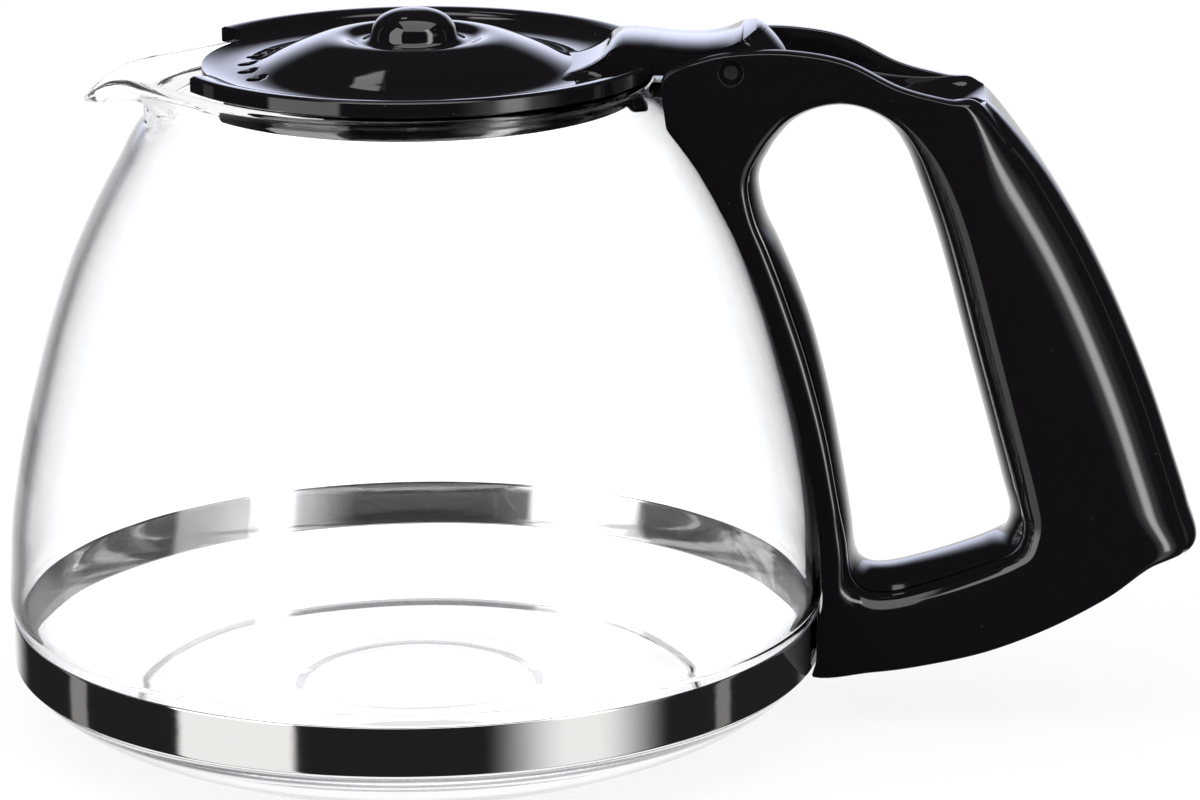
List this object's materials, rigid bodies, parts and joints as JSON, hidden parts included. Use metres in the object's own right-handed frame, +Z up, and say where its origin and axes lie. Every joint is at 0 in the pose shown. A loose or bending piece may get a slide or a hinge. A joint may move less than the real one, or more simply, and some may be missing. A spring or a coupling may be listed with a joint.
{
  "type": "coffee server carafe",
  "caption": "Round-bellied glass coffee server with a pouring lip, a steel foot band, a looped plastic handle and a hinged lid with a thumb lever.",
  "frame": {"origin": "centre of the jug's foot ring, on the plane it stands on", "axes": "+Z up along the jug's axis, +X to the handle, -X to the pouring lip"},
  "size_m": [0.2174, 0.1496, 0.1302],
  "materials": {
    "glass": "clear blown glass",
    "polished_steel": "mirror polished",
    "zinc_steel": "satin",
    "black_plastic": "high gloss"
  },
  "bodies": {
    "jug": {"glass_jug": "glass", "base_band": "polished_steel", "clamp_screw": "zinc_steel", "clamp_nut": "zinc_steel", "handle_shell": "black_plastic", "grip_liner": "black_plastic", "hinge_pin": "zinc_steel"},
    "lid": {"lid_cover": "black_plastic", "lid_skirt": "black_plastic"}
  },
  "joints": [
    {"name": "lid_hinge", "type": "hinge", "parent": "jug", "child": "lid", "pos_m": [0.058, 0, 0.1211], "axis": [0, 1, 0], "range_deg": [0, 55]}
  ]
}
